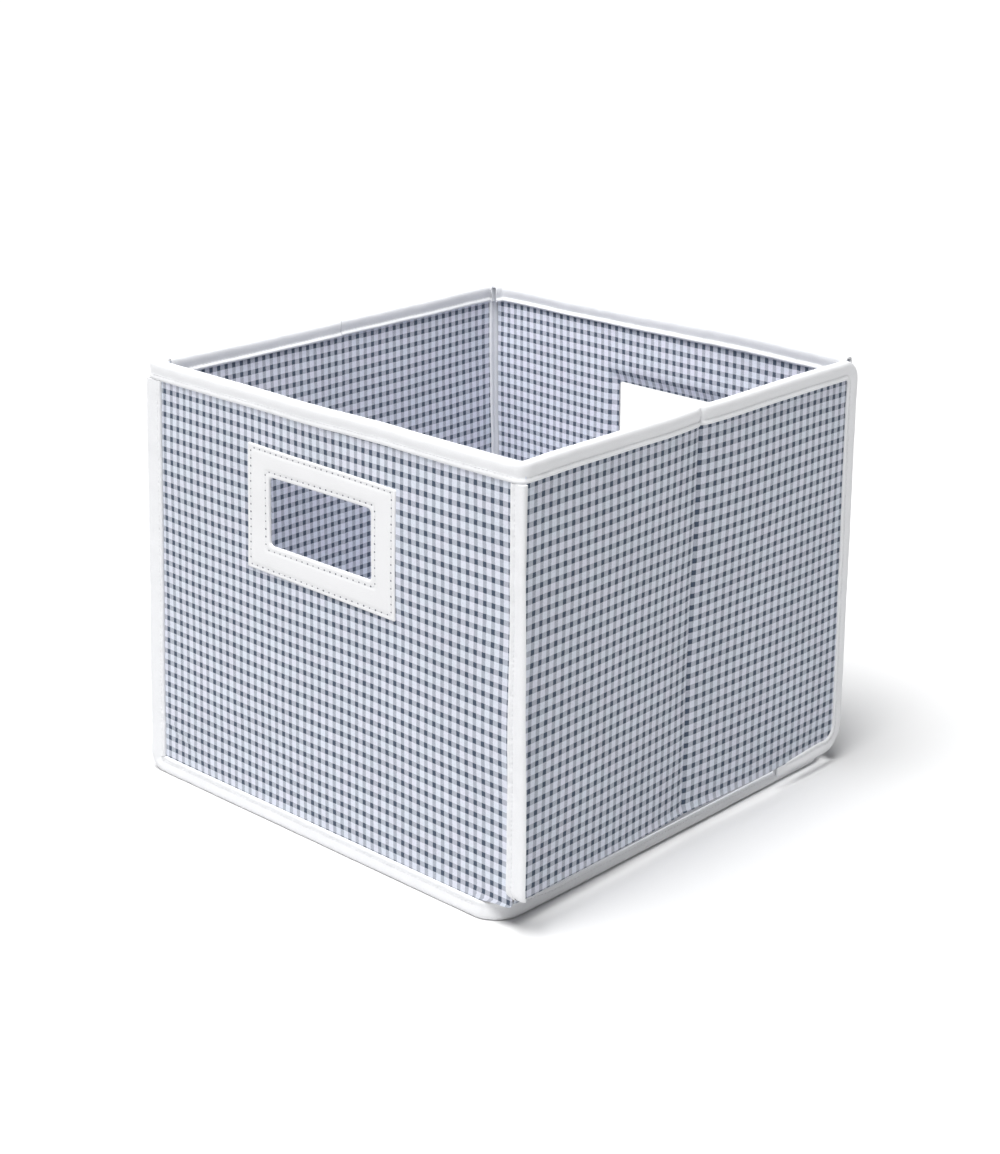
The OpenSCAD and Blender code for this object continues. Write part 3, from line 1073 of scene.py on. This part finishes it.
def base_panel():
    board = base_layer("base_board_core", base_under_hi.z + 0.05 * MM, base_top_lo.z - 0.05 * MM, CARD, 30,
                       0.5 * MM)
    place(board, "base", "base_board", "stiffener_board")
    for name, lo, hi, material, slot_name, node in (
            ("base_top_lining", base_top_lo, base_top_hi, LIT_LINING, "gingham_lining", "base_top_cloth"),
            ("base_under_cloth", base_under_lo, base_under_hi, PLAIN, "base_cloth", "base_bottom_cloth")):
        cloth = base_layer(name, lo.z, hi.z, material, 31)
        place(cloth, "base", node, slot_name)


base_panel()

# ---- handle frames: stitched leather cloth round each hand hole ----

# The frame across, from its outer edge at 0 to the hole at 1: the share of its width, and the
# height off the wall in mm. The last two points turn into the hole.
FRAME_SECTION = [(0.0, -0.15), (0.0, 0.60), (0.012, 0.90), (0.04, 1.08), (0.09, 1.12), (0.142, 0.80),
                 (0.195, 1.12), (0.30, 1.20), (0.50, 1.24), (0.70, 1.20), (0.78, 1.12), (0.832, 0.80),
                 (0.885, 1.10), (0.955, 1.06), (0.985, 0.90), (1.0, 0.60), (1.006, 0.0), (1.006, -0.5)]
ROW_OUTER, ROW_INNER = 5, 11
NEEDLE_PITCH = 4.9 * MM
NEEDLE_R = 0.60 * MM
FRAME_TILT = math.radians(-1.1)


def ring_outline(half_w, half_h, radius, counts):
    """A rectangle's outline with round corners, with a fixed count of points on each stretch."""
    across, up, corner = counts
    out = []
    for turn in range(4):
        w, h = (half_w, half_h) if turn % 2 == 0 else (half_h, half_w)
        n = across if turn % 2 == 0 else up
        c, s = round(math.cos(math.pi / 2 * turn)), round(math.sin(math.pi / 2 * turn))
        stretch = [(-(w - radius) + 2 * (w - radius) * i / n, -h) for i in range(n)]
        stretch += [(w - radius + radius * math.sin(a), -h + radius - radius * math.cos(a))
                    for a in (math.pi / 2 * k / corner for k in range(corner))]
        out += [Vector((c * x - s * y, s * x + c * y)) for x, y in stretch]
    return out


def handle_frame(wall_name, wall, center_x, turned):
    half_w, half_h = (handle_hi.x - handle_lo.x) / 2, (handle_hi.z - handle_lo.z) / 2
    counts = (26, 16, 5)
    outer = ring_outline(half_w, half_h, 0.8 * MM, counts)
    inner = [p + Vector((0, HOLE_Z - HANDLE_Z)) for p in ring_outline(HOLE_W / 2, HOLE_H / 2, HOLE_R, counts)]
    points, uvs = [], []

    def spot(a, b, t, height):
        flat = a.lerp(b, t)
        c, s = math.cos(FRAME_TILT * (1 - t)), math.sin(FRAME_TILT * (1 - t))
        x, z = c * flat.x - s * flat.y, s * flat.x + c * flat.y
        lift = 0.25 * MM * wobble(x / 0.02, z / 0.02, turned)
        return wall.at(center_x + x, HANDLE_Z + z, height * MM + (lift if height > 1 else 0))

    for a, b in zip(outer, inner):
        for t, height in FRAME_SECTION:
            points.append(spot(a, b, t, height))
            uvs.append((a.x, a.y))
    around, across = len(outer), len(FRAME_SECTION)
    faces = []
    for i in range(around):
        for k in range(across):
            j = (i + 1) % around
            a, b = i * across + k, j * across + k
            up = (k + 1) % across - k
            faces.append([a, b, b + up, a + up])
    stitches, hole_shades = ([], []), ([], [])      # points and faces of each
    for row in (ROW_OUTER, ROW_INNER):
        t, height = FRAME_SECTION[row]
        line = [spot(a, b, t, height + 0.06) for a, b in zip(outer, inner)]
        needle_row(line, wall.out, *stitches, *hole_shades)
    slots = [0] * len(faces)
    for slot, (extra_points, extra_faces) in enumerate((stitches, hole_shades), 1):
        shift = len(points)
        faces += [[k + shift for k in f] for f in extra_faces]
        points += extra_points
        slots += [slot] * len(extra_faces)
    if wall is BACK:
        faces = [list(reversed(f)) for f in faces]
    uvs += [(0, 0)] * (len(points) - len(uvs))
    obj = piece(f"{wall_name}_hand_frame", points, faces, [LEATHER, THREAD_WHITE, NEEDLE_HOLE_SHADE], uvs, slots)
    sharpen(obj, 60)
    place(obj, f"{wall_name}_wall", f"{wall_name}_handle_frame", "handle_leather")


def needle_row(line, out, stitch_points, stitch_faces, hole_shade_points, hole_shade_faces):
    """Thread all the way round a closed line, with a dark disc of painted shade at each needle hole between
    the stitches.
    """
    closed = line + [line[0]]
    lengths = [(b - a).length for a, b in zip(closed, closed[1:])]
    total = sum(lengths)
    count = round(total / NEEDLE_PITCH)
    pitch = total / count

    def walk(s):
        s %= total
        for a, b, length in zip(closed, closed[1:], lengths):
            if s <= length:
                return a.lerp(b, s / length)
            s -= length
        return closed[-1]

    for k in range(count):
        a, b = walk(k * pitch + 0.20 * pitch), walk(k * pitch + 0.80 * pitch)
        capsule(a, b, out, 0.20 * MM, stitch_points, stitch_faces)
        center = walk(k * pitch)
        way = (b - a).normalized()
        side = way.cross(out).normalized()
        # Each needle hole is a dark disc of painted shade, raised a little off the leather.
        first = len(hole_shade_points)
        radius = NEEDLE_R * rng.uniform(0.8, 1.15)
        hole_shade_points.append(center + out * 0.30 * MM)
        for i in range(7):
            angle = math.tau * i / 7
            rim = way * math.cos(angle) + side * math.sin(angle)
            hole_shade_points.append(center + rim * radius + out * 0.10 * MM)
        hole_shade_faces.extend([first, first + 1 + i, first + 1 + (i + 1) % 7] for i in range(7))
        hole_shade_faces.append([first + 1 + i for i in reversed(range(7))])


handle_frame("front", FRONT, HANDLE_X, 1)
handle_frame("back", BACK, BACK_HANDLE_X, 2)

# ---- studio ----


def studio_floor():
    size = 14.0          # half its width
    count = 8            # cells each way
    points = [Vector((size * (i / count - 0.5) * 2, size * (j / count - 0.5) * 2, 0.0))
              for i in range(count + 1) for j in range(count + 1)]
    row = count + 1
    faces = [[i * row + j, (i + 1) * row + j, (i + 1) * row + j + 1, i * row + j + 1]
             for i in range(count) for j in range(count)]
    piece("studio_floor", points, faces, [FLOOR], keep_place=True)


def soft_sun(name, turn, height, level, angle):
    """A wide, even light from one side. level is the brightness it gives a white surface facing it."""
    light = bpy.data.lights.new(name, "SUN")
    light.energy = level * math.pi
    light.angle = math.radians(angle)
    obj = add_object(name, light)
    a, e = math.radians(turn), math.radians(height)
    way = Vector((math.sin(a) * math.cos(e), -math.cos(a) * math.cos(e), math.sin(e)))
    obj.location = way * 3
    obj.rotation_euler = way.to_track_quat("Z", "Y").to_euler()


def soft_lamp(name, stand, radius, power):
    """A small soft lamp over the open bin, which brightens its inside."""
    light = bpy.data.lights.new(name, "POINT")
    light.energy = power
    light.shadow_soft_size = radius
    obj = add_object(name, light)
    obj.location = stand
    obj.visible_camera = False


def studio_sky(strength):
    """Even light from all round, and plain white wherever the camera sees past the floor."""
    world = bpy.data.worlds.new("studio_sky")
    bpy.context.scene.world = world
    world.use_nodes = True
    tree = world.node_tree
    background = tree.nodes["Background"]
    background.inputs["Color"].default_value = (0.975, 0.985, 1, 1)
    path = tree.nodes.new("ShaderNodeLightPath")
    level = tree.nodes.new("ShaderNodeMapRange")
    level.inputs["To Min"].default_value = strength
    level.inputs["To Max"].default_value = 1.1
    tree.links.new(path.outputs["Is Camera Ray"], level.inputs["Value"])
    tree.links.new(level.outputs[0], background.inputs["Strength"])


def studio_camera():
    """The camera: where it stands, which way it looks, and how its frame is shifted."""
    stand = Vector((0.9344, -1.0111, 0.6383))
    turn, tilt, roll = math.radians(42.91), math.radians(15.64), math.radians(0.36)
    data = bpy.data.cameras.new("camera")
    data.sensor_fit = "VERTICAL"
    data.sensor_height = 36.0
    data.lens = 70.16
    data.shift_y = -0.153
    data.clip_start = 0.05
    data.clip_end = 100
    obj = add_object("camera", data)
    obj.location = stand
    obj.rotation_mode = "QUATERNION"
    ahead = Vector((-math.sin(turn) * math.cos(tilt), math.cos(turn) * math.cos(tilt), -math.sin(tilt)))
    level = Vector((math.cos(turn), math.sin(turn), 0))
    up = level.cross(ahead)
    right = level * math.cos(roll) + up * math.sin(roll)
    upright = up * math.cos(roll) - level * math.sin(roll)
    obj.rotation_quaternion = Matrix((right, upright, -ahead)).transposed().to_quaternion()
    bpy.context.scene.camera = obj


studio_floor()
studio_sky(0.20)
soft_sun("key", 4, 71, 1.30, 36)
soft_lamp("fill", (-0.04, -0.05, 0.50), 0.12, 2.4)
studio_camera()
bpy.context.scene.view_settings.view_transform = "Standard"
